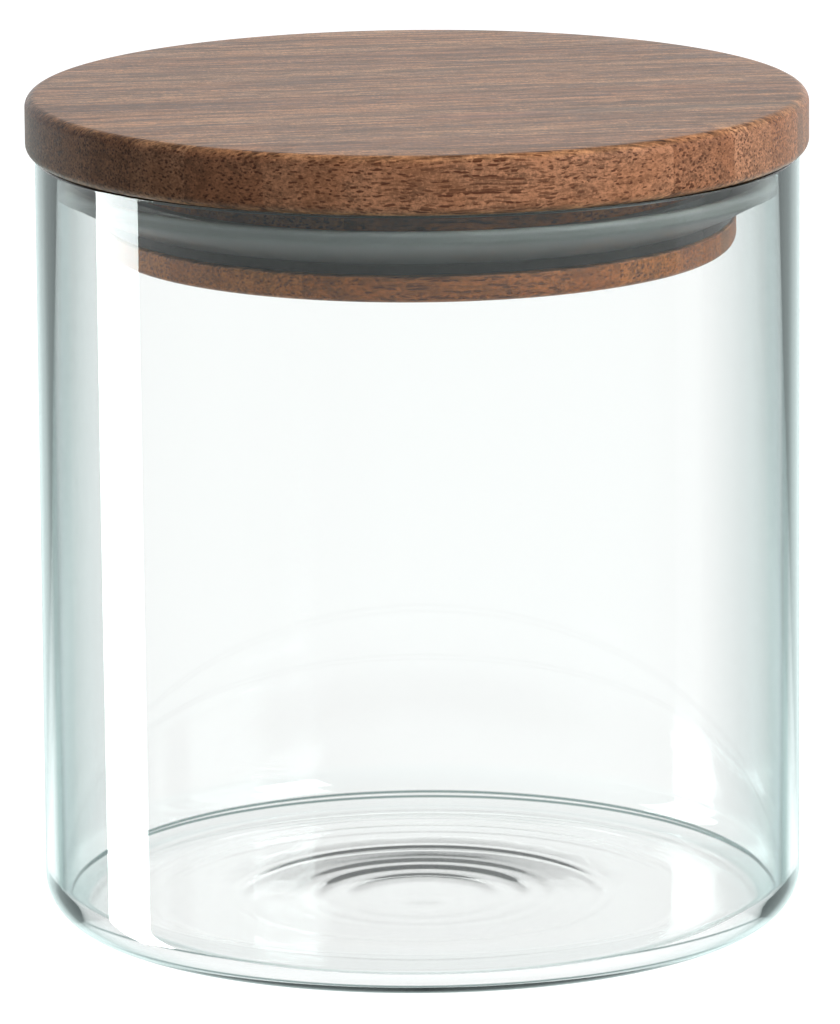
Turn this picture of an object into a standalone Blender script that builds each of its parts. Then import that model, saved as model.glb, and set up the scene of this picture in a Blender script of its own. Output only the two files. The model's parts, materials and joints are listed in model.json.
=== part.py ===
"""Glass food canister with a bamboo plug lid and a silicone seal, as separate pieces.

Lengths are in metres. The jar stands on the XY plane and its axis is +Z. The jar, the seal
and the lid are all turned about that axis. The lid is a board of parallel bamboo staves,
turned as one, so each stave is the slice of the turned lid between two glue joints.
"""

import math

import bmesh
import bpy
from mathutils import Matrix

MM = 0.001

# Fits and mesh fineness.
CLEARANCE = 0.3 * MM
SEGMENTS = 84
ARC_STEPS = 4
EDGE_STEPS = 3
MERGE_DISTANCE = 0.002 * MM
SHARP_ANGLE = math.radians(35.0)

# Jar: a glass tube with its lower end closed and pressed slightly hollow.
TUBE_RADIUS = 50.0 * MM
TUBE_WALL = 1.8 * MM
JAR_HEIGHT = 102.0 * MM
RIM_EDGE_RADIUS = 0.5 * MM
BASE_CORNER_RADIUS = 6.0 * MM
FLOOR_CORNER_RADIUS = 4.3 * MM
FLOOR_THICKNESS = 1.9 * MM
PUNT_RADIUS = 34.0 * MM
PUNT_RISE = 0.7 * MM
FLOOR_MOUND_RADIUS = 20.0 * MM
FLOOR_MOUND_RISE = 0.5 * MM
MOUND_STEPS = 5

# Lid: disc over the rim, neck behind the seal, flange under the seal.
LID_RADIUS = 51.25 * MM
LID_THICKNESS = 7.7 * MM
LID_EDGE_RADIUS = 1.5 * MM
NECK_RADIUS = 40.0 * MM
FLANGE_RADIUS = 42.3 * MM
FLANGE_BOTTOM = 89.4 * MM
FLANGE_TOP = 92.8 * MM
FLANGE_EDGE_RADIUS = 1.0 * MM

# Staves: strips on edge, glued side by side.
STAVE_WIDTH = 6.9 * MM
FRONT_JOINT_OFFSET = 44.0 * MM
GRAIN_TURN = math.radians(8.5)
SLAB_SPAN = 130.0 * MM

# Seal: a foot that sits on the flange, and a lip that leans out to the glass.
SEAL_FOOT_THICKNESS = 1.8 * MM
SEAL_FOOT_HEIGHT = 5.1 * MM
SEAL_SKIRT_HEIGHT = 1.3 * MM
SEAL_LIP_BOTTOM = 98.1 * MM
SEAL_LIP_TOP = 99.9 * MM
SEAL_LIP_THICKNESS = 1.5 * MM
SEAL_CHANNEL_DEPTH = 1.4 * MM
SEAL_EDGE_RADIUS = 0.6 * MM
SEAL_UNDERSIDE_SLOPE = -56.0

# Linear RGB colours.
GLASS_COLOUR = (0.94, 0.985, 0.975)
SILICONE_COLOUR = (0.38, 0.42, 0.42)
BAMBOO_TONES = {
    "bamboo_pale": (0.43, 0.27, 0.17),
    "bamboo_honey": (0.37, 0.21, 0.125),
    "bamboo_brown": (0.29, 0.15, 0.085),
}
TONE_ORDER = ("bamboo_honey", "bamboo_brown", "bamboo_pale", "bamboo_honey", "bamboo_pale")


def clear_scene():
    for item in list(bpy.data.objects):
        bpy.data.objects.remove(item, do_unlink=True)


def make_material(name, colour, roughness, transmission=0.0, ior=1.5):
    material = bpy.data.materials.new(name)
    material.use_nodes = True
    shader = material.node_tree.nodes["Principled BSDF"]
    shader.inputs["Base Color"].default_value = (*colour, 1.0)
    shader.inputs["Roughness"].default_value = roughness
    shader.inputs["Metallic"].default_value = 0.0
    shader.inputs["Transmission Weight"].default_value = transmission
    shader.inputs["IOR"].default_value = ior
    return material


def arc(centre, radius, start_degrees, end_degrees, steps=ARC_STEPS):
    """Points (r, z) along an arc about centre; 0 degrees points away from the axis."""
    points = []
    for step in range(steps + 1):
        angle = math.radians(start_degrees + (end_degrees - start_degrees) * step / steps)
        points.append((centre[0] + radius * math.cos(angle), centre[1] + radius * math.sin(angle)))
    return points


def mound(radius, base_height, rise):
    """Points (r, z) of a smooth low mound, from its edge to the axis."""
    points = []
    for step in range(MOUND_STEPS + 1):
        share = step / MOUND_STEPS
        height = base_height + rise * 0.5 * (1.0 - math.cos(math.pi * share))
        points.append((radius * (1.0 - share), height))
    return points


def jar_outline():
    inner_radius = TUBE_RADIUS - TUBE_WALL
    base_corner = (TUBE_RADIUS - BASE_CORNER_RADIUS, BASE_CORNER_RADIUS)
    floor_corner = (inner_radius - FLOOR_CORNER_RADIUS, FLOOR_THICKNESS + FLOOR_CORNER_RADIUS)
    rim_outer_edge = (TUBE_RADIUS - RIM_EDGE_RADIUS, JAR_HEIGHT - RIM_EDGE_RADIUS)
    rim_inner_edge = (inner_radius + RIM_EDGE_RADIUS, JAR_HEIGHT - RIM_EDGE_RADIUS)
    outline = list(reversed(mound(PUNT_RADIUS, 0.0, PUNT_RISE)))
    outline += arc(base_corner, BASE_CORNER_RADIUS, -90.0, 0.0)
    outline += arc(rim_outer_edge, RIM_EDGE_RADIUS, 0.0, 90.0, EDGE_STEPS)
    outline += arc(rim_inner_edge, RIM_EDGE_RADIUS, 90.0, 180.0, EDGE_STEPS)
    outline += arc(floor_corner, FLOOR_CORNER_RADIUS, 0.0, -90.0)
    outline += mound(FLOOR_MOUND_RADIUS, FLOOR_THICKNESS, FLOOR_MOUND_RISE)
    return outline


def lid_outline():
    underside = JAR_HEIGHT + CLEARANCE
    top = underside + LID_THICKNESS
    edge_centre = LID_RADIUS - LID_EDGE_RADIUS
    lower_edge = (edge_centre, underside + LID_EDGE_RADIUS)
    upper_edge = (edge_centre, top - LID_EDGE_RADIUS)
    flange_edge = (FLANGE_RADIUS - FLANGE_EDGE_RADIUS, FLANGE_BOTTOM + FLANGE_EDGE_RADIUS)
    outline = [(0.0, FLANGE_BOTTOM)]
    outline += arc(flange_edge, FLANGE_EDGE_RADIUS, -90.0, 0.0, EDGE_STEPS)
    outline += [(FLANGE_RADIUS, FLANGE_TOP), (NECK_RADIUS, FLANGE_TOP), (NECK_RADIUS, underside)]
    outline += arc(lower_edge, LID_EDGE_RADIUS, -90.0, 0.0)
    outline += arc(upper_edge, LID_EDGE_RADIUS, 0.0, 90.0)
    outline.append((0.0, top))
    return outline


def seal_outline():
    inner = NECK_RADIUS + CLEARANCE
    outer = TUBE_RADIUS - TUBE_WALL - CLEARANCE
    bottom = FLANGE_TOP + CLEARANCE
    foot_outer = inner + SEAL_FOOT_THICKNESS
    foot_top = bottom + SEAL_FOOT_HEIGHT
    channel_bottom = foot_top - SEAL_CHANNEL_DEPTH
    lip_inner = outer - SEAL_LIP_THICKNESS
    lower_edge = (outer - SEAL_EDGE_RADIUS, SEAL_LIP_BOTTOM + SEAL_EDGE_RADIUS)
    upper_edge = (outer - SEAL_EDGE_RADIUS, SEAL_LIP_TOP - SEAL_EDGE_RADIUS)
    outline = [(inner, bottom), (foot_outer, bottom), (foot_outer, bottom + SEAL_SKIRT_HEIGHT)]
    outline += arc(lower_edge, SEAL_EDGE_RADIUS, SEAL_UNDERSIDE_SLOPE, 0.0, EDGE_STEPS)
    outline += arc(upper_edge, SEAL_EDGE_RADIUS, 0.0, 90.0, EDGE_STEPS)
    outline += [(lip_inner, SEAL_LIP_TOP - SEAL_EDGE_RADIUS), (lip_inner, foot_top)]
    outline += [(foot_outer + SEAL_EDGE_RADIUS, channel_bottom), (foot_outer, channel_bottom)]
    outline += [(foot_outer - SEAL_EDGE_RADIUS, foot_top), (inner, foot_top)]
    return outline


def turned_mesh(name, outline, origin_height, ring=False):
    """A solid of revolution about Z, with z = 0 at origin_height.

    An outline of a ring is joined end to end; any other starts and ends on the axis.
    """
    body = bmesh.new()
    corners = [body.verts.new((radius, 0.0, height)) for radius, height in outline]
    edges = [body.edges.new(pair) for pair in zip(corners, corners[1:])]
    if ring:
        edges.append(body.edges.new((corners[-1], corners[0])))
    bmesh.ops.spin(
        body,
        geom=corners + edges,
        cent=(0.0, 0.0, 0.0),
        axis=(0.0, 0.0, 1.0),
        angle=2.0 * math.pi,
        steps=SEGMENTS,
    )
    bmesh.ops.remove_doubles(body, verts=body.verts[:], dist=MERGE_DISTANCE)
    bmesh.ops.recalc_face_normals(body, faces=body.faces[:])
    body.transform(Matrix.Translation((0.0, 0.0, -origin_height)))
    mesh = bpy.data.meshes.new(name)
    body.to_mesh(mesh)
    body.free()
    return mesh


def add_object(name, data, parent=None, height=0.0):
    """An object on the Z axis, at this height above its parent."""
    item = bpy.data.objects.new(name, data)
    bpy.context.collection.objects.link(item)
    item.parent = parent
    item.location = (0.0, 0.0, height)
    return item


def in_fixed_order(name, mesh):
    """The same mesh with its corners sorted by place, so that each run gives the same file."""
    places = [tuple(corner.co) for corner in mesh.vertices]
    order = sorted(range(len(places)), key=places.__getitem__)
    rank = {old: new for new, old in enumerate(order)}
    faces = []
    for polygon in mesh.polygons:
        loop = [rank[index] for index in polygon.vertices]
        first = loop.index(min(loop))
        faces.append(loop[first:] + loop[:first])
    result = bpy.data.meshes.new(name)
    result.from_pydata([places[index] for index in order], [], sorted(faces))
    return result


def finish_piece(item, material):
    item.data.materials.clear()
    item.data.materials.append(material)
    item.data.shade_smooth()
    item.data.set_sharp_from_angle(angle=SHARP_ANGLE)


def stave_limits():
    """The front and back of each stave, as distances from the axis towards the lid's front."""
    joints = []
    offset = FRONT_JOINT_OFFSET
    while offset > -(LID_RADIUS - LID_EDGE_RADIUS):
        joints.append(offset)
        offset -= STAVE_WIDTH
    fronts = [0.5 * SLAB_SPAN] + [joint - 0.5 * CLEARANCE for joint in joints]
    backs = [joint + 0.5 * CLEARANCE for joint in joints] + [-0.5 * SLAB_SPAN]
    return list(zip(fronts, backs))


def slab_cutter(front, back):
    """A box across the lid between two distances from the axis. Its length follows the grain."""
    body = bmesh.new()
    bmesh.ops.create_cube(body, size=1.0)
    body.transform(Matrix.Diagonal((SLAB_SPAN, front - back, SLAB_SPAN, 1.0)))
    body.transform(Matrix.Translation((0.0, -0.5 * (front + back), 0.0)))
    body.transform(Matrix.Rotation(GRAIN_TURN, 4, "Z"))
    mesh = bpy.data.meshes.new("slab_cutter")
    body.to_mesh(mesh)
    body.free()
    cutter = add_object("slab_cutter", mesh, height=JAR_HEIGHT)
    cutter.hide_render = True
    cutter.display_type = "WIRE"
    return cutter


def build_staves(tones, parent):
    """Slices the turned lid into one object for each stave, front to back."""
    turned_lid = turned_mesh("turned_lid", lid_outline(), JAR_HEIGHT)
    for number, (front, back) in enumerate(stave_limits()):
        stave = add_object(f"lid_stave_{number + 1:02d}", turned_lid, parent)
        cutter = slab_cutter(front, back)
        slice_off = stave.modifiers.new("slice", "BOOLEAN")
        slice_off.operation = "INTERSECT"
        slice_off.solver = "EXACT"
        slice_off.object = cutter
        graph = bpy.context.evaluated_depsgraph_get()
        sliced = bpy.data.meshes.new_from_object(stave.evaluated_get(graph))
        stave.modifiers.clear()
        stave.data = in_fixed_order(stave.name, sliced)
        finish_piece(stave, tones[TONE_ORDER[number % len(TONE_ORDER)]])
        bpy.data.objects.remove(cutter, do_unlink=True)


def main():
    clear_scene()
    glass = make_material("borosilicate", GLASS_COLOUR, 0.02, transmission=1.0, ior=1.47)
    silicone = make_material("silicone", SILICONE_COLOUR, 0.38, transmission=0.3, ior=1.41)
    tones = {name: make_material(name, colour, 0.5) for name, colour in BAMBOO_TONES.items()}

    jar = add_object("glass_jar", turned_mesh("glass_jar", jar_outline(), 0.0))
    finish_piece(jar, glass)

    lift_axis = add_object("lid_lift_axis", None, height=JAR_HEIGHT)
    seal_mesh = turned_mesh("seal_ring", seal_outline(), JAR_HEIGHT, ring=True)
    seal = add_object("seal_ring", seal_mesh, parent=lift_axis)
    finish_piece(seal, silicone)

    turn_axis = add_object("lid_turn_axis", None, parent=lift_axis)
    build_staves(tones, turn_axis)


main()
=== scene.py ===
import json
import math

import bmesh
import bpy
from mathutils import Matrix, Vector


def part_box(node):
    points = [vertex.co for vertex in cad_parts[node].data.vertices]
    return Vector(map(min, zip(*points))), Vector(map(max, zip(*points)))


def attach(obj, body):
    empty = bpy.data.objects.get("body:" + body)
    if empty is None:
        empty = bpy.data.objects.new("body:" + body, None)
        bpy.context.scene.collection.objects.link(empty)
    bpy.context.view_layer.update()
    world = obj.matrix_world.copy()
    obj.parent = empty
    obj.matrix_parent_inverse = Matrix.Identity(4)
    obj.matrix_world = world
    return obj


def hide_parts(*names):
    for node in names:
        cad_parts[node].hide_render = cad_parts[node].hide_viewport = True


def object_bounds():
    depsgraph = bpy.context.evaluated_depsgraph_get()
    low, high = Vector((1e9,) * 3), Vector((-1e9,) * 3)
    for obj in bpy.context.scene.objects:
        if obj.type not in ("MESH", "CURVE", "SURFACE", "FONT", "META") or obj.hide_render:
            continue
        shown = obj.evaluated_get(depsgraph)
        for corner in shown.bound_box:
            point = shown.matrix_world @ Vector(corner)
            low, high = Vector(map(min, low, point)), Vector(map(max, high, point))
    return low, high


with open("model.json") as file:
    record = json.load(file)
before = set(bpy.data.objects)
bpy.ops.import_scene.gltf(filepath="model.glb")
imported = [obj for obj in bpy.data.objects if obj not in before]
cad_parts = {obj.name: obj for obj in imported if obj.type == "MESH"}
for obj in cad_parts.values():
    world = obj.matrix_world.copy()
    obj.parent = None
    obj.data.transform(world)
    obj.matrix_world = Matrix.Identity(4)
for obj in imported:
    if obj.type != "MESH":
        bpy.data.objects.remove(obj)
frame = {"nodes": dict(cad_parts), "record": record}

CAD_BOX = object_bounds()
MM = 0.001

# How far the finished pieces stay inside the CAD box.
INSET = 0.01 * MM

# Camera: above and in front of the jar, at the photograph's viewing angle.
CAMERA_DISTANCE = 1.2234
CAMERA_HEIGHT = 0.3137
CAMERA_PITCH_DOWN = math.radians(12.0)
CAMERA_ROLL = math.radians(-0.46)
CAMERA_LENS_MM = 333.5

# Mesh fineness.
TURNED_SIDES = 240
ROUND_STEPS = 8
SMALL_ROUND_STEPS = 3
LIP_ROUND_STEPS = 5
FLOOR_STEPS = 180
SHARP_ANGLE = math.radians(40.0)
CUT_TOLERANCE = 0.0001 * MM

# Jar details that the CAD solid's box doesn't give.
GLASS_WALL = 1.8 * MM
RIM_TO_LID = 0.03 * MM
RIM_EDGE_RADIUS = 0.45 * MM
BASE_CORNER_RADIUS = 6.0 * MM
FLOOR_CORNER_RADIUS = 5.0 * MM
FLOOR_THICKNESS = 1.9 * MM
FLOOR_DIP = 0.25 * MM
# The underside rises towards the middle, so the jar stands on a ring.
PUNT_RADIUS = 34.0 * MM
PUNT_RISE = 0.48 * MM
# The floor's surface: a band of ripples, single rings further out, and a nub in the middle.
RIPPLE_RADIUS = 13.5 * MM
RIPPLE_SPREAD = 7.0 * MM
RIPPLE_PITCH = 10.5 * MM
RIPPLE_SLOPE = 0.042
OUTER_RINGS = (24.5 * MM, 35.5 * MM, 39.0 * MM)
OUTER_RING_SPREAD = 1.3 * MM
OUTER_RING_HEIGHT = 0.032 * MM
NUB_RADIUS = 9.0 * MM
NUB_RISE = 0.14 * MM

# Lid details.
LID_EDGE_RADIUS = 1.5 * MM
NECK_RADIUS = 40.0 * MM
FLANGE_RADIUS = 42.3 * MM
FLANGE_TOP = 92.8 * MM
FLANGE_EDGE_RADIUS = 1.0 * MM
FLANGE_TOP_EDGE_RADIUS = 0.3 * MM
GRAIN_TURN = math.radians(8.5)
CAD_GAP = 0.3 * MM
GLUE_GAP = 0.02 * MM

# Seal details.
SEAL_FOOT_THICKNESS = 1.8 * MM
SEAL_FOOT_HEIGHT = 5.1 * MM
SEAL_SKIRT_HEIGHT = 1.3 * MM
SEAL_LIP_BOTTOM = 98.1 * MM
SEAL_LIP_THICKNESS = 1.5 * MM
SEAL_LIP_DRAFT = 0.2 * MM
SEAL_CHANNEL_DEPTH = 1.4 * MM
SEAL_EDGE_RADIUS = 0.6 * MM
SEAL_UNDERSIDE_SAG = 0.25 * MM
SEAL_SQUEEZE_GAP = 0.04 * MM

# Glass colour by how far the surface turns from the eye: 0 faces it, 1 is edge on. Past a faint teal tint,
# the darker colours are painted shade: the dark edges that glass shows edge on.
CLEAR = (0.935, 0.950, 0.945)
OUTSIDE_TINTS_AND_EDGE_SHADE = (
    (0.36, CLEAR),
    (0.60, (0.66, 0.76, 0.755)),
    (0.68, (0.40, 0.50, 0.50)),
    (0.71, (0.11, 0.18, 0.18)),
    (0.75, (0.12, 0.25, 0.23)),
    (0.80, (0.75, 0.95, 0.95)),
    (0.86, (1.00, 1.00, 1.00)),
)
INSIDE_TINTS_AND_EDGE_SHADE = (
    (0.36, CLEAR),
    (0.60, (0.60, 0.66, 0.66)),
    (0.69, (0.35, 0.39, 0.385)),
    (0.74, (0.25, 0.34, 0.33)),
    (0.82, (0.335, 0.47, 0.47)),
    (0.89, (0.43, 0.55, 0.55)),
    (1.00, (0.60, 0.70, 0.70)),
)
BASE_TINTS_AND_EDGE_SHADE = (
    (0.45, (0.93, 0.96, 0.955)),
    (0.62, (0.70, 0.80, 0.79)),
    (0.74, (0.30, 0.42, 0.41)),
    (0.86, (0.20, 0.30, 0.29)),
    (1.00, (0.30, 0.42, 0.41)),
)
# Where those looks change: distance from the axis, height, and how level the surface is.
WALL_MIDDLE = (48.9 * MM, 49.3 * MM)
BASE_TOP = (5.5 * MM, 7.5 * MM)
NEARLY_LEVEL = (0.95, 0.998)
# Painted shade: a thin dark line runs along the base's bend, where the surface is this level.
BEND_LINE = 0.70
BEND_LINE_REACH = (0.01, 0.05)
BEND_LINE_PAINTED_SHADE = (0.06, 0.11, 0.105)
GLASS_IOR = 1.47

# Seal colours from the bottom up, with the heights over which each gives way to the next. The near-black
# line at the bottom is a painted shadow in the gap above the flange, the darker foot is painted shade, and
# the lighter top edge is painted light.
SEAL_SHADOW_LINE = (0.006, 0.004, 0.003)
SEAL_SHADOW_LINE_HEIGHTS = (94.2 * MM, 94.9 * MM)
SEAL_SHADED_FOOT = ((0.075, 0.080, 0.080), (0.095, 0.100, 0.100))
SEAL_SHADED_FOOT_HEIGHTS = (94.6 * MM, 98.6 * MM)
SEAL_LIP = ((0.14, 0.16, 0.155), (0.175, 0.195, 0.19))
SEAL_LIP_HEIGHTS = (99.0 * MM, 99.8 * MM)
SEAL_LIT_TOP = (0.32, 0.36, 0.34)

# Bamboo tones by material slot, and what grows or has soaked into single staves. The bamboo's
# pattern is worked out in millimetres, so its sizes below are plain millimetres.
TONES = {
    "bamboo_pale": (0.42, 0.215, 0.118),
    "bamboo_honey": (0.38, 0.185, 0.097),
    "bamboo_brown": (0.33, 0.155, 0.08),
}
KNOTS = {3: [(-22.3, 27.9)], 6: [(-25.0, 5.1)], 11: [(7.3, -17.6)]}
KNOT_HALF_LENGTH = 4.5
KNOT_HALF_WIDTH = 1.9
STAINED_STAVE = 5
GREY_STAIN = (0.12, 0.09, 0.07)
RED_STAIN = (0.24, 0.07, 0.04)
SEED_STEP = 7.3
BUNDLES_PER_MM = 2.2
# Layers over the ground tone: pattern, its range, strength at both ends of it, share of the tone.
TONE_LAYERS = (
    ("lines", 0.44, 0.62, 0.0, 0.7, 0.5),
    ("fine", 0.48, 0.66, 0.0, 0.85, 0.32),
    ("fine", 0.30, 0.45, 0.55, 0.0, 1.6),
    ("cells", 0.48, 0.62, 0.0, 0.5, 0.4),
    ("cells", 0.36, 0.48, 0.4, 0.0, 1.7),
)
# Tone multipliers: painted shade on the plug, which sits under the lid inside the jar; what the oil makes
# of the tone on the lid's rim and on the flat top.
PLUG_PAINTED_SHADE = (0.74, 0.52, 0.20)
RIM_OIL = (0.78, 0.73, 0.74)
TOP_OIL = (1.05, 1.04, 0.93)
PLUG_TO_RIM = (99.0, 101.0)


# ---------------------------------------------------------------- outlines

def arc(centre, radius, start_degrees, end_degrees, steps=ROUND_STEPS):
    """Points (r, z) along an arc about centre; 0 degrees points away from the axis."""
    points = []
    for step in range(steps + 1):
        angle = math.radians(start_degrees + (end_degrees - start_degrees) * step / steps)
        points.append((centre[0] + radius * math.cos(angle), centre[1] + radius * math.sin(angle)))
    return points


def bell(share):
    """1 at 0, falling smoothly to 0 at 1 and beyond."""
    return 0.5 * (1.0 + math.cos(math.pi * min(abs(share), 1.0)))


def ripple(radius):
    """Height of the rings that the closing of the tube leaves in the floor, narrower further out."""
    fade = bell((radius - RIPPLE_RADIUS) / RIPPLE_SPREAD)
    height = RIPPLE_SLOPE * RIPPLE_PITCH**2 / (4.0 * math.pi * max(radius, 0.5 * RIPPLE_PITCH))
    rings = height * fade * math.cos(2.0 * math.pi * (radius / RIPPLE_PITCH) ** 2)
    for outer_ring in OUTER_RINGS:
        rings += OUTER_RING_HEIGHT * bell((radius - outer_ring) / OUTER_RING_SPREAD)
    return rings + NUB_RISE * bell(radius / NUB_RADIUS)


def jar_outline(radius, height):
    inner = radius - GLASS_WALL
    base_corner = (radius - BASE_CORNER_RADIUS, BASE_CORNER_RADIUS)
    floor_corner = (inner - FLOOR_CORNER_RADIUS, FLOOR_THICKNESS + FLOOR_CORNER_RADIUS)
    rim = height - RIM_EDGE_RADIUS
    outline = []
    for step in range(FLOOR_STEPS + 1):
        r = PUNT_RADIUS * step / FLOOR_STEPS
        outline.append((r, PUNT_RISE * bell(r / PUNT_RADIUS)))
    outline += arc(base_corner, BASE_CORNER_RADIUS, -90.0, 0.0, 2 * ROUND_STEPS)
    outline += arc((radius - RIM_EDGE_RADIUS, rim), RIM_EDGE_RADIUS, 0.0, 90.0)
    outline += arc((inner + RIM_EDGE_RADIUS, rim), RIM_EDGE_RADIUS, 90.0, 180.0)
    outline += arc(floor_corner, FLOOR_CORNER_RADIUS, 0.0, -90.0, 2 * ROUND_STEPS)
    for step in range(1, FLOOR_STEPS + 1):
        r = floor_corner[0] * (1.0 - step / FLOOR_STEPS)
        outline.append((r, FLOOR_THICKNESS - FLOOR_DIP * bell(r / PUNT_RADIUS) + ripple(r)))
    return outline


def lid_outline(radius, bottom, underside, top):
    edge_centre = radius - LID_EDGE_RADIUS
    flange_edge = (FLANGE_RADIUS - FLANGE_EDGE_RADIUS, bottom + FLANGE_EDGE_RADIUS)
    flange_top_edge = (FLANGE_RADIUS - FLANGE_TOP_EDGE_RADIUS, FLANGE_TOP - FLANGE_TOP_EDGE_RADIUS)
    outline = [(0.0, bottom)]
    outline += arc(flange_edge, FLANGE_EDGE_RADIUS, -90.0, 0.0)
    outline += arc(flange_top_edge, FLANGE_TOP_EDGE_RADIUS, 0.0, 90.0, SMALL_ROUND_STEPS)
    outline += [(NECK_RADIUS, FLANGE_TOP), (NECK_RADIUS, underside)]
    outline += arc((edge_centre, underside + LID_EDGE_RADIUS), LID_EDGE_RADIUS, -90.0, 0.0)
    outline += arc((edge_centre, top - LID_EDGE_RADIUS), LID_EDGE_RADIUS, 0.0, 90.0)
    outline.append((0.0, top))
    return outline


def seal_outline(inner, outer, bottom, top):
    foot_outer = inner + SEAL_FOOT_THICKNESS
    foot_top = bottom + SEAL_FOOT_HEIGHT
    channel_bottom = foot_top - SEAL_CHANNEL_DEPTH
    lip_inner = outer - SEAL_LIP_THICKNESS
    lip_edge = (outer - SEAL_EDGE_RADIUS, SEAL_LIP_BOTTOM + SEAL_EDGE_RADIUS)
    underside_start = (foot_outer, bottom + SEAL_SKIRT_HEIGHT)
    underside_end = (outer - 0.4 * SEAL_EDGE_RADIUS, SEAL_LIP_BOTTOM + 0.15 * SEAL_EDGE_RADIUS)
    outline = [(inner, bottom), (foot_outer, bottom)]
    for step in range(ROUND_STEPS + 1):
        share = step / ROUND_STEPS
        r = underside_start[0] + share * (underside_end[0] - underside_start[0])
        z = underside_start[1] + share * (underside_end[1] - underside_start[1])
        outline.append((r, z - SEAL_UNDERSIDE_SAG * math.sin(math.pi * share)))
    outline += arc(lip_edge, SEAL_EDGE_RADIUS, -45.0, 0.0, LIP_ROUND_STEPS)
    outline += arc((outer - SEAL_EDGE_RADIUS, top - SEAL_EDGE_RADIUS), SEAL_EDGE_RADIUS, 0.0, 90.0)
    outline += [(lip_inner, top - 0.3 * SEAL_EDGE_RADIUS), (lip_inner - SEAL_LIP_DRAFT, foot_top)]
    outline += [(foot_outer + SEAL_EDGE_RADIUS, channel_bottom), (foot_outer, channel_bottom)]
    outline += [(foot_outer - SEAL_EDGE_RADIUS, foot_top), (inner, foot_top)]
    return outline


# ------------------------------------------------------------------ meshes

def turned_body(outline, ring=False):
    """A solid of revolution about Z. Only a ring's outline is joined end to end."""
    body = bmesh.new()
    last = len(outline) - 1
    rows = []
    for index, (radius, height) in enumerate(outline):
        if not ring and index in (0, last):
            rows.append([body.verts.new((0.0, 0.0, height))])
            continue
        row = []
        for side in range(TURNED_SIDES):
            angle = 2.0 * math.pi * side / TURNED_SIDES
            row.append(body.verts.new((radius * math.cos(angle), radius * math.sin(angle), height)))
        rows.append(row)
    pairs = list(zip(rows, rows[1:]))
    if ring:
        pairs.append((rows[-1], rows[0]))
    for lower, upper in pairs:
        for side in range(TURNED_SIDES):
            following = (side + 1) % TURNED_SIDES
            if len(lower) == 1:
                body.faces.new((lower[0], upper[following], upper[side]))
            elif len(upper) == 1:
                body.faces.new((lower[side], lower[following], upper[0]))
            else:
                body.faces.new((lower[side], lower[following], upper[following], upper[side]))
    bmesh.ops.recalc_face_normals(body, faces=body.faces[:])
    return body


def cut_flat(body, distance, normal):
    """Keeps what lies below distance along normal, and closes the cut with a flat face."""
    cut = bmesh.ops.bisect_plane(
        body,
        geom=body.verts[:] + body.edges[:] + body.faces[:],
        dist=CUT_TOLERANCE,
        plane_co=normal * distance,
        plane_no=normal,
        clear_outer=True,
    )
    edges = [item for item in cut["geom_cut"] if isinstance(item, bmesh.types.BMEdge)]
    bmesh.ops.edgeloop_fill(body, edges=edges)
    bmesh.ops.recalc_face_normals(body, faces=body.faces[:])


def add_piece(name, body, material, node, cad_body):
    """A finished piece that stands for one CAD node and rides on that node's body."""
    mesh = bpy.data.meshes.new(name)
    body.to_mesh(mesh)
    body.free()
    mesh.materials.append(material)
    mesh.shade_smooth()
    mesh.set_sharp_from_angle(angle=SHARP_ANGLE)
    piece = bpy.data.objects.new(name, mesh)
    bpy.context.collection.objects.link(piece)
    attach(piece, cad_body)
    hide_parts(node)
    return piece


# --------------------------------------------------------------- materials

# The Mix node keeps its number, vector and colour sockets side by side: these are the colours.
MIX_FIRST = 6
MIX_SECOND = 7
MIX_RESULT = 2


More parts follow.
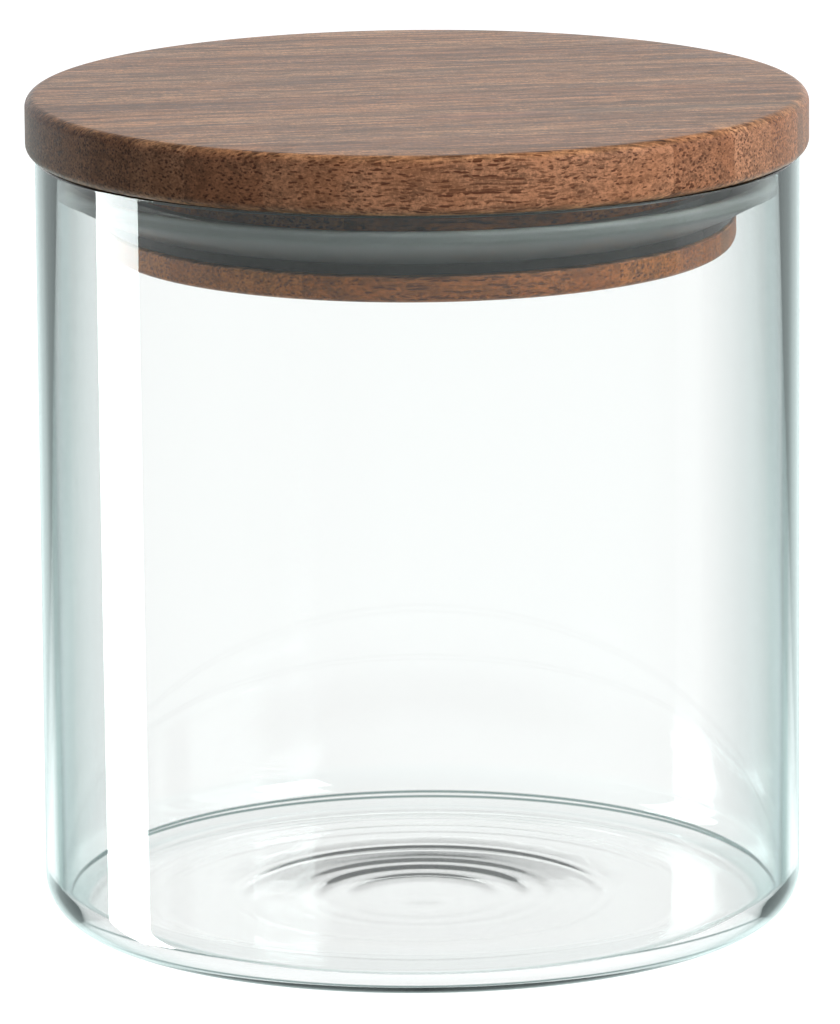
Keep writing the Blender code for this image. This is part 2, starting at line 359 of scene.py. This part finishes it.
class Shading:
    """Adds nodes to one material or world and links them as they are made."""

    def __init__(self, tree):
        self.tree = tree

    def node(self, kind, sockets=(), **settings):
        node = self.tree.nodes.new(kind)
        for name, value in settings.items():
            setattr(node, name, value)
        for name, value in dict(sockets).items():
            self.feed(node.inputs[name], value)
        return node

    def feed(self, socket, value):
        if isinstance(value, bpy.types.NodeSocket):
            self.tree.links.new(value, socket)
        else:
            socket.default_value = value

    def math(self, operation, *values):
        node = self.tree.nodes.new("ShaderNodeMath")
        node.operation = operation
        for socket, value in zip(node.inputs, values):
            self.feed(socket, value)
        return node.outputs[0]

    def step(self, value, low, high, low_value=0.0, high_value=1.0):
        """A smooth rise from low_value to high_value while value goes from low to high."""
        node = self.node("ShaderNodeMapRange", interpolation_type="SMOOTHSTEP")
        for name, given in (
            ("Value", value),
            ("From Min", low),
            ("From Max", high),
            ("To Min", low_value),
            ("To Max", high_value),
        ):
            self.feed(node.inputs[name], given)
        return node.outputs["Result"]

    def mix(self, share, first, second, blend="MIX"):
        node = self.node("ShaderNodeMix", data_type="RGBA", blend_type=blend)
        self.feed(node.inputs["Factor"], share)
        self.feed(node.inputs[MIX_FIRST], first)
        self.feed(node.inputs[MIX_SECOND], second)
        return node.outputs[MIX_RESULT]

    def ramp(self, value, stops):
        node = self.node("ShaderNodeValToRGB", {"Fac": value})
        elements = node.color_ramp.elements
        while len(elements) < len(stops):
            elements.new(1.0)
        for element, (position, colour) in zip(elements, stops):
            element.position = position
            element.color = rgb(*colour)
        return node.outputs["Color"]

    def combine(self, x, y, z):
        node = self.tree.nodes.new("ShaderNodeCombineXYZ")
        for socket, value in zip(node.inputs, (x, y, z)):
            self.feed(socket, value)
        return node.outputs[0]

    def split(self, vector):
        return self.node("ShaderNodeSeparateXYZ", {"Vector": vector}).outputs

    def scaled(self, value, factor):
        return self.math("MULTIPLY", value, factor)

    def vector(self, operation, vector, scale=None, output="Vector"):
        node = self.node("ShaderNodeVectorMath", {"Vector": vector}, operation=operation)
        if scale is not None:
            node.inputs["Scale"].default_value = scale
        return node.outputs[output]

    def dot(self, first, second):
        node = self.node("ShaderNodeVectorMath", {0: first, 1: second}, operation="DOT_PRODUCT")
        return node.outputs["Value"]

    def noise(self, vector, scale, detail=3.0, roughness=0.55):
        sockets = {"Vector": vector, "Scale": scale, "Detail": detail, "Roughness": roughness}
        return self.node("ShaderNodeTexNoise", sockets).outputs["Fac"]

    def bump(self, height, strength, distance):
        sockets = {"Height": height, "Strength": strength, "Distance": distance}
        return self.node("ShaderNodeBump", sockets).outputs["Normal"]


def new_material(name, **settings):
    """A Principled material; returns it, its node helper and its shader's sockets."""
    material = bpy.data.materials.new(name)
    material.use_nodes = True
    shader = material.node_tree.nodes["Principled BSDF"]
    for socket, value in settings.items():
        shader.inputs[socket.replace("_", " ")].default_value = value
    return material, Shading(material.node_tree), shader.inputs


def rgb(red, green, blue):
    return (red, green, blue, 1.0)


def glass_material():
    material, shade, sockets = new_material(
        "borosilicate",
        IOR=GLASS_IOR,
        Transmission_Weight=1.0,
        Roughness=0.0,
        Specular_IOR_Level=0.18,
        Specular_Tint=rgb(0.9, 1.0, 0.995),
    )
    place = shade.node("ShaderNodeTexCoord").outputs["Object"]
    x, y, z = shade.split(place)
    draw_lines = shade.noise(shade.combine(x, y, shade.scaled(z, 0.05)), 55.0, 2.0)
    facing = shade.node("ShaderNodeLayerWeight", {"Blend": 0.5}).outputs["Facing"]
    normal = shade.node("ShaderNodeNewGeometry").outputs["Normal"]
    level = shade.math("ABSOLUTE", shade.split(normal)[2])
    from_axis = shade.vector("LENGTH", shade.combine(x, y, 0.0), output="Value")
    outside = shade.step(from_axis, *WALL_MIDDLE)
    # Painted shade: the wall and base darken towards their edges, over the glass's faint teal tint.
    wall_tint_and_edge_shade = shade.mix(outside, shade.ramp(facing, INSIDE_TINTS_AND_EDGE_SHADE), shade.ramp(facing, OUTSIDE_TINTS_AND_EDGE_SHADE))
    tint = shade.mix(shade.step(z, *BASE_TOP), shade.ramp(facing, BASE_TINTS_AND_EDGE_SHADE), wall_tint_and_edge_shade)
    tint = shade.mix(shade.step(level, *NEARLY_LEVEL), tint, rgb(*CLEAR))
    # Painted shade: a thin dark line along the base's bend.
    off_bend = shade.math("ABSOLUTE", shade.math("SUBTRACT", level, BEND_LINE))
    on_bend = shade.step(off_bend, *BEND_LINE_REACH, 1.0, 0.0)
    tint = shade.mix(on_bend, tint, rgb(*BEND_LINE_PAINTED_SHADE))
    shade.feed(sockets["Base Color"], tint)
    shade.feed(sockets["Normal"], shade.bump(draw_lines, 0.12, 0.2 * MM))
    return material


def silicone_material():
    material, shade, sockets = new_material(
        "silicone",
        IOR=1.41,
        Specular_IOR_Level=0.3,
        Subsurface_Weight=0.3,
        Subsurface_Radius=(0.9, 1.0, 1.0),
        Subsurface_Scale=1.5 * MM,
    )
    place = shade.node("ShaderNodeTexCoord").outputs["Object"]
    haze = shade.noise(place, 90.0, 4.0)
    height = shade.split(place)[2]
    # Painted shade darkens the foot; the lip keeps the seal's own grey.
    shaded_foot = shade.mix(haze, *(rgb(*colour) for colour in SEAL_SHADED_FOOT))
    lip = shade.mix(haze, *(rgb(*colour) for colour in SEAL_LIP))
    colour = shade.mix(shade.step(height, *SEAL_SHADED_FOOT_HEIGHTS), shaded_foot, lip)
    # Painted shadow: a near-black line at the bottom, in the gap above the flange.
    colour = shade.mix(shade.step(height, *SEAL_SHADOW_LINE_HEIGHTS, 1.0, 0.0), colour, rgb(*SEAL_SHADOW_LINE))
    # Painted light: the top edge is lighter.
    colour = shade.mix(shade.step(height, *SEAL_LIP_HEIGHTS, 0.0, 0.7), colour, rgb(*SEAL_LIT_TOP))
    shade.feed(sockets["Base Color"], colour)
    shade.feed(sockets["Roughness"], shade.step(haze, 0.3, 0.7, 0.28, 0.42))
    shade.feed(sockets["Normal"], shade.bump(shade.noise(place, 1500.0), 0.15, 0.05 * MM))
    return material


def grain_axes(shade):
    """The place in millimetres: along the grain, across it towards the front, and up."""
    place = shade.node("ShaderNodeTexCoord").outputs["Object"]
    in_mm = shade.vector("SCALE", place, scale=1.0 / MM)
    turned = shade.node(
        "ShaderNodeVectorRotate", {"Vector": in_mm, "Angle": -GRAIN_TURN}, rotation_type="Z_AXIS"
    )
    along, backwards, up = shade.split(turned.outputs[0])
    return along, shade.scaled(backwards, -1.0), up


def near_knot(shade, along, across, knots):
    """1 in the middle of each knot, falling to 0 at its edge."""
    knot = 0.0
    for knot_along, knot_across in knots:
        offset = shade.combine(
            shade.math("MULTIPLY_ADD", along, 1.0 / KNOT_HALF_LENGTH, -knot_along / KNOT_HALF_LENGTH),
            shade.math("MULTIPLY_ADD", across, 1.0 / KNOT_HALF_WIDTH, -knot_across / KNOT_HALF_WIDTH),
            0.0,
        )
        near = shade.step(shade.vector("LENGTH", offset, output="Value"), 0.0, 1.0, 1.0, 0.0)
        knot = shade.math("MAXIMUM", knot, near)
    return knot


def fibre_bundles(shade, along, bent, risen, depth, seed):
    """Dots on end grain and lines along the grain, denser towards the stave's front."""
    bundles = shade.node(
        "ShaderNodeTexVoronoi",
        {
            "Vector": shade.combine(bent, shade.math("ADD", risen, seed), 0.0),
            "Scale": BUNDLES_PER_MM,
            "Randomness": 0.95,
        },
        voronoi_dimensions="2D",
    )
    chance, strength, _ = shade.split(bundles.outputs["Color"])
    reach = shade.math("MULTIPLY_ADD", depth, 0.1, 0.26)
    past_reach = shade.math("SUBTRACT", bundles.outputs["Distance"], reach)
    dot = shade.step(past_reach, -0.07, 0.07, 1.0, 0.0)
    kept = shade.math("LESS_THAN", chance, shade.math("MULTIPLY_ADD", depth, 0.2, 0.78))
    strength = shade.math("MULTIPLY_ADD", strength, 0.4, 0.6)
    fibre = shade.math("MULTIPLY", shade.math("MULTIPLY", dot, kept), strength)
    breaks = shade.noise(shade.combine(along, shade.scaled(bent, 2.0), shade.scaled(risen, 2.0)), 0.9, 1.0)
    return shade.math("MULTIPLY", fibre, shade.step(breaks, 0.42, 0.52))


def stained(shade, colour, along, depth):
    """A grey and a red patch, side by side along the stave."""
    grey = shade.math("MULTIPLY", shade.step(along, 2.0, 20.0), shade.step(depth, 0.12, 0.3))
    grey = shade.math("MULTIPLY", grey, shade.step(depth, 0.75, 0.95, 1.0, 0.0))
    red = shade.math("MULTIPLY", shade.step(along, -9.0, 4.0), shade.step(along, 8.0, 22.0, 1.0, 0.0))
    red = shade.math("MULTIPLY", red, shade.step(depth, 0.2, 0.5))
    colour = shade.mix(shade.scaled(grey, 0.5), colour, rgb(*GREY_STAIN))
    return shade.mix(shade.scaled(red, 0.4), colour, rgb(*RED_STAIN))


def bamboo_material(name, tone, front, back, seed, knots, stain):
    """Bamboo on edge. front and back are the stave's faces, as distances towards the front."""
    material, shade, sockets = new_material(
        name, IOR=1.5, Specular_IOR_Level=0.25, Coat_Roughness=0.3, Coat_IOR=1.32
    )
    along, across, up = grain_axes(shade)
    depth = shade.step(across, back / MM, front / MM)

    def toned(red, green, blue):
        return rgb(red * tone[0], green * tone[1], blue * tone[2])

    # Fibres wander a little and swing round the knots.
    slow = shade.noise(shade.combine(shade.scaled(along, 0.6), across, seed), 0.045, 2.0)
    short = shade.noise(shade.combine(along, shade.scaled(across, 0.5), up), 0.22, 1.0)
    knot = near_knot(shade, along, across, knots)
    bent = shade.math("MULTIPLY_ADD", short, 0.5, shade.math("MULTIPLY_ADD", slow, 2.4, across))
    bent = shade.math("MULTIPLY_ADD", knot, 1.6, bent)
    risen = shade.math("MULTIPLY_ADD", short, 0.9, shade.math("MULTIPLY_ADD", slow, -1.8, up))
    seeded_risen = shade.math("ADD", risen, seed)

    # Lengthwise figure from broad to fine, and cells and a mottle that ignore the grain.
    broad = shade.noise(shade.combine(shade.scaled(along, 0.02), across, seed), 0.28, 2.0)
    lines = shade.noise(shade.combine(shade.scaled(along, 0.05), bent, seeded_risen), 0.85, 3.0, 0.65)
    fine = shade.noise(shade.combine(shade.scaled(along, 0.07), bent, risen), 3.6, 3.0, 0.7)
    cells = shade.noise(shade.combine(along, shade.scaled(across, 0.45), up), 2.4, 3.0, 0.75)
    mottle = shade.noise(shade.combine(along, across, shade.math("ADD", up, seed)), 0.16, 2.0)
    patterns = {"lines": lines, "fine": fine, "cells": cells}

    colour = shade.mix(shade.step(broad, 0.32, 0.68), toned(0.85, 0.85, 0.85), toned(1.2, 1.2, 1.2))
    for pattern, low, high, low_share, high_share, part in TONE_LAYERS:
        share = shade.step(patterns[pattern], low, high, low_share, high_share)
        colour = shade.mix(share, colour, toned(part, part, part))
    colour = shade.mix(shade.step(mottle, 0.4, 0.7, 0.0, 0.35), colour, toned(0.9, 0.76, 0.62))
    fibre = fibre_bundles(shade, along, bent, risen, depth, seed)
    colour = shade.mix(fibre, colour, toned(0.22, 0.14, 0.1))
    colour = shade.mix(shade.scaled(knot, 0.75), colour, toned(0.25, 0.25, 0.25))
    if stain:
        colour = stained(shade, colour, along, depth)

    # Flat faces show the lines more. The rest is end grain, which drinks the oil: it is darker
    # and has hardly any sheen. Below the rim the plug is darkened further with painted shade.
    normal = shade.node("ShaderNodeNewGeometry").outputs["Normal"]
    flat = shade.step(shade.math("ABSOLUTE", shade.split(normal)[2]), 0.3, 0.98)
    figure = shade.step(shade.math("MULTIPLY_ADD", knot, 0.4, lines), 0.36, 0.64, 1.3, 0.66)
    figured = shade.mix(1.0, colour, shade.combine(figure, figure, figure), "MULTIPLY")
    colour = shade.mix(flat, colour, figured)
    # Painted shade: the plug below the rim is darkened.
    side_oil_and_plug_shade = shade.mix(shade.step(up, *PLUG_TO_RIM), rgb(*PLUG_PAINTED_SHADE), rgb(*RIM_OIL))
    colour = shade.mix(1.0, colour, shade.mix(flat, side_oil_and_plug_shade, rgb(*TOP_OIL)), "MULTIPLY")
    dull = shade.math("MULTIPLY_ADD", fibre, -0.3, fine)
    height = shade.math("MULTIPLY_ADD", fibre, -0.9, shade.math("MULTIPLY_ADD", fine, 0.7, cells))
    shade.feed(sockets["Base Color"], colour)
    shade.feed(sockets["Coat Weight"], shade.math("MULTIPLY_ADD", flat, 0.42, 0.05))
    shade.feed(sockets["Roughness"], shade.step(dull, 0.1, 0.8, 0.4, 0.62))
    shade.feed(sockets["Normal"], shade.bump(height, 0.4, 0.08 * MM))
    return material


def floor_material():
    """A white surface lit from below, like a photographer's light table."""
    material, shade, sockets = new_material(
        "light_table", Base_Color=rgb(0.1, 0.1, 0.1), Roughness=0.6, Emission_Color=rgb(1.0, 1.0, 1.0)
    )
    place = shade.node("ShaderNodeTexCoord").outputs["Object"]
    glow = shade.noise(place, 3.0)
    shade.feed(sockets["Emission Strength"], shade.step(glow, 0.0, 1.0, 1.0, 1.02))
    return material


# ------------------------------------------------------------ the canister

def body_box(name):
    """Lowest and highest corner of all the CAD nodes of a body."""
    boxes = [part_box(node) for node in frame["record"]["behaviour"]["bodies"][name]]
    low = Vector([min(box[0][axis] for box in boxes) for axis in range(3)])
    high = Vector([max(box[1][axis] for box in boxes) for axis in range(3)])
    return low, high


def make_jar():
    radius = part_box("glass_jar")[1].x - INSET
    rim_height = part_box("lid_stave_01")[0].z - RIM_TO_LID
    body = turned_body(jar_outline(radius, rim_height))
    return add_piece("glass_jar_clear", body, glass_material(), "glass_jar", "jar")


def make_seal():
    low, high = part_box("seal_ring")
    glass_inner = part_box("glass_jar")[1].x - GLASS_WALL
    outline = seal_outline(NECK_RADIUS + CAD_GAP, glass_inner - SEAL_SQUEEZE_GAP, low.z, high.z)
    body = turned_body(outline, ring=True)
    add_piece("seal_ring_soft", body, silicone_material(), "seal_ring", "seal")


def make_staves():
    """Slices the turned lid where the CAD staves lie, with a glue line between neighbours."""
    low, high = body_box("lid")
    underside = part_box("lid_stave_01")[0].z
    outline = lid_outline(high.x - INSET, low.z, underside, high.z - INSET)
    towards_front = Vector((math.sin(GRAIN_TURN), -math.cos(GRAIN_TURN), 0.0))
    slots = {row["node"]: row["material_slot"] for row in frame["record"]["subparts"]}
    widen = 0.5 * (CAD_GAP - GLUE_GAP)
    for number, node in enumerate(sorted(frame["record"]["behaviour"]["bodies"]["lid"]), start=1):
        distances = [corner.co.dot(towards_front) for corner in frame["nodes"][node].data.vertices]
        front = max(distances) + widen
        back = min(distances) - widen
        body = turned_body(outline)
        if front < high.x:
            cut_flat(body, front, towards_front)
        if back > -high.x:
            cut_flat(body, -back, -towards_front)
        material = bamboo_material(
            f"bamboo_{number:02d}",
            tone=TONES[slots[node]],
            front=front,
            back=back,
            seed=SEED_STEP * number,
            knots=KNOTS.get(number, []),
            stain=number == STAINED_STAVE,
        )
        add_piece(f"bamboo_stave_{number:02d}", body, material, node, "lid")


# ----------------------------------------------------- floor, light, camera

FLOOR_HALF_SIZE = 60.0
FLOOR_DROP = 0.02 * MM


def make_floor():
    mesh = bpy.data.meshes.new("floor")
    level = CAD_BOX[0].z - FLOOR_DROP
    signs = ((-1, -1), (1, -1), (1, 1), (-1, 1))
    corners = [(x * FLOOR_HALF_SIZE, y * FLOOR_HALF_SIZE, level) for x, y in signs]
    mesh.from_pydata(corners, [], [(0, 1, 2, 3)])
    mesh.materials.append(floor_material())
    floor = bpy.data.objects.new("floor", mesh)
    bpy.context.collection.objects.link(floor)
    floor.visible_glossy = False
    floor.visible_diffuse = False


# Studio panels: azimuth, half width, lowest and highest elevation in degrees, strength, soft edge.
# Azimuth 0 is over the camera, 90 at the right, 180 behind the jar.
PANELS = (
    (180.0, 60.0, -45.0, 22.0, 0.95, 10.0),
    (30.0, 45.0, -45.0, -6.0, 0.35, 10.0),
    (0.0, 180.0, -91.0, -45.0, 0.6, 10.0),
    (76.0, 22.0, 2.0, 50.0, 2.3, 5.0),
    (161.0, 9.0, -35.0, -9.0, 0.6, 4.0),
    (-161.0, 9.0, -35.0, -9.0, 0.6, 4.0),
)
# Cards that only mirror in the glass: azimuth, width in degrees, lowest and highest point, strength.
CARDS = (
    (-101.3, 20.0, -2.2, 2.2, 15.0),
    (88.0, 11.0, -2.2, 2.2, 0.45),
)
CARD_DISTANCE = 3.0
# The rest of the studio, by elevation in degrees: from low to top, and a glow along the horizon.
AMBIENT_LOW = 0.12
AMBIENT_TOP = 0.2
AMBIENT_RISE = (-10.0, 60.0)
HORIZON_GLOW = 1.05
HORIZON_START = (-4.0, -3.0)
HORIZON_END = (0.8, 1.6)
LOW_TINT = (0.84, 1.0, 0.99)
LOW_TINT_END = (-12.0, -2.0)


def make_world():
    """A dim studio with bright panels. A thin white line at the horizon carries on the floor."""
    world = bpy.data.worlds.new("studio")
    world.use_nodes = True
    bpy.context.scene.world = world
    shade = Shading(world.node_tree)
    background = world.node_tree.nodes["Background"]
    direction = shade.node("ShaderNodeTexCoord").outputs["Generated"]
    x, y, z = shade.split(direction)
    elevation = shade.math("DEGREES", shade.math("ARCSINE", z))
    level = shade.step(elevation, *AMBIENT_RISE, AMBIENT_LOW, AMBIENT_TOP)
    glow = shade.step(elevation, *HORIZON_END, HORIZON_GLOW, 0.0)
    glow = shade.math("MULTIPLY", shade.step(elevation, *HORIZON_START), glow)
    level = shade.math("ADD", level, glow)
    flat = shade.vector("NORMALIZE", shade.combine(x, y, 0.0))
    for azimuth, half_width, low, high, strength, soft in PANELS:
        turn = math.radians(azimuth)
        towards = shade.dot(flat, (math.sin(turn), -math.cos(turn), 0.0))
        aside = shade.math("DEGREES", shade.math("ARCCOSINE", towards))
        inside = shade.step(aside, half_width - soft, half_width + soft, 1.0, 0.0)
        inside = shade.math("MULTIPLY", inside, shade.step(elevation, low - soft, low + soft))
        inside = shade.math("MULTIPLY", inside, shade.step(elevation, high - soft, high + soft, 1.0, 0.0))
        level = shade.math("MULTIPLY_ADD", inside, strength, level)
    tint = shade.mix(shade.step(elevation, *LOW_TINT_END), rgb(*LOW_TINT), rgb(1.0, 1.0, 1.0))
    light = shade.mix(1.0, tint, shade.combine(level, level, level), "MULTIPLY")
    shade.feed(background.inputs["Color"], light)


def make_cards(mirror):
    """Bright cards that only the mirror piece reflects."""
    mirrors = bpy.data.collections.new("mirrors")
    mirrors.objects.link(mirror)
    for number, (azimuth, width, bottom, top, strength) in enumerate(CARDS, start=1):
        name = f"strip_card_{number}"
        material = new_material(
            name,
            Base_Color=rgb(0.0, 0.0, 0.0),
            Emission_Color=rgb(1.0, 1.0, 1.0),
            Emission_Strength=strength,
        )[0]
        mesh = bpy.data.meshes.new(name)
        corners = []
        for side, height in ((-0.5, bottom), (0.5, bottom), (0.5, top), (-0.5, top)):
            turn = math.radians(azimuth + side * width)
            corners.append((CARD_DISTANCE * math.sin(turn), -CARD_DISTANCE * math.cos(turn), height))
        mesh.from_pydata(corners, [], [(0, 1, 2, 3)])
        mesh.materials.append(material)
        card = bpy.data.objects.new(name, mesh)
        bpy.context.collection.objects.link(card)
        card.visible_camera = False
        card.visible_diffuse = False
        card.visible_shadow = False
        card.light_linking.receiver_collection = mirrors


def area_light(name, azimuth, elevation, distance, size, power):
    """A square soft light that faces the jar. Azimuth 0 is over the camera, 90 at the right."""
    light = bpy.data.lights.new(name, "AREA")
    light.shape = "SQUARE"
    light.size = size
    light.energy = power
    holder = bpy.data.objects.new(name, light)
    bpy.context.collection.objects.link(holder)
    turn = math.radians(azimuth)
    rise = math.radians(elevation)
    out = Vector((math.sin(turn) * math.cos(rise), -math.cos(turn) * math.cos(rise), math.sin(rise)))
    target = 0.5 * (CAD_BOX[0] + CAD_BOX[1])
    holder.location = target + out * distance
    holder.rotation_mode = "QUATERNION"
    holder.rotation_quaternion = out.to_track_quat("Z", "Y")
    holder.visible_glossy = False


def make_camera():
    data = bpy.data.cameras.new("camera")
    data.lens = CAMERA_LENS_MM
    camera = bpy.data.objects.new("camera", data)
    bpy.context.collection.objects.link(camera)
    level = Matrix.Rotation(math.pi / 2.0 - CAMERA_PITCH_DOWN, 4, "X")
    roll = Matrix.Rotation(CAMERA_ROLL, 4, "Z")
    camera.matrix_world = Matrix.Translation((0.0, -CAMERA_DISTANCE, CAMERA_HEIGHT)) @ level @ roll
    bpy.context.scene.camera = camera


jar = make_jar()
make_seal()
make_staves()
make_floor()
make_world()
make_cards(jar)
area_light("key_light", azimuth=48.0, elevation=26.0, distance=1.3, size=0.5, power=17.0)
make_camera()
bpy.context.scene.view_settings.view_transform = "Standard"
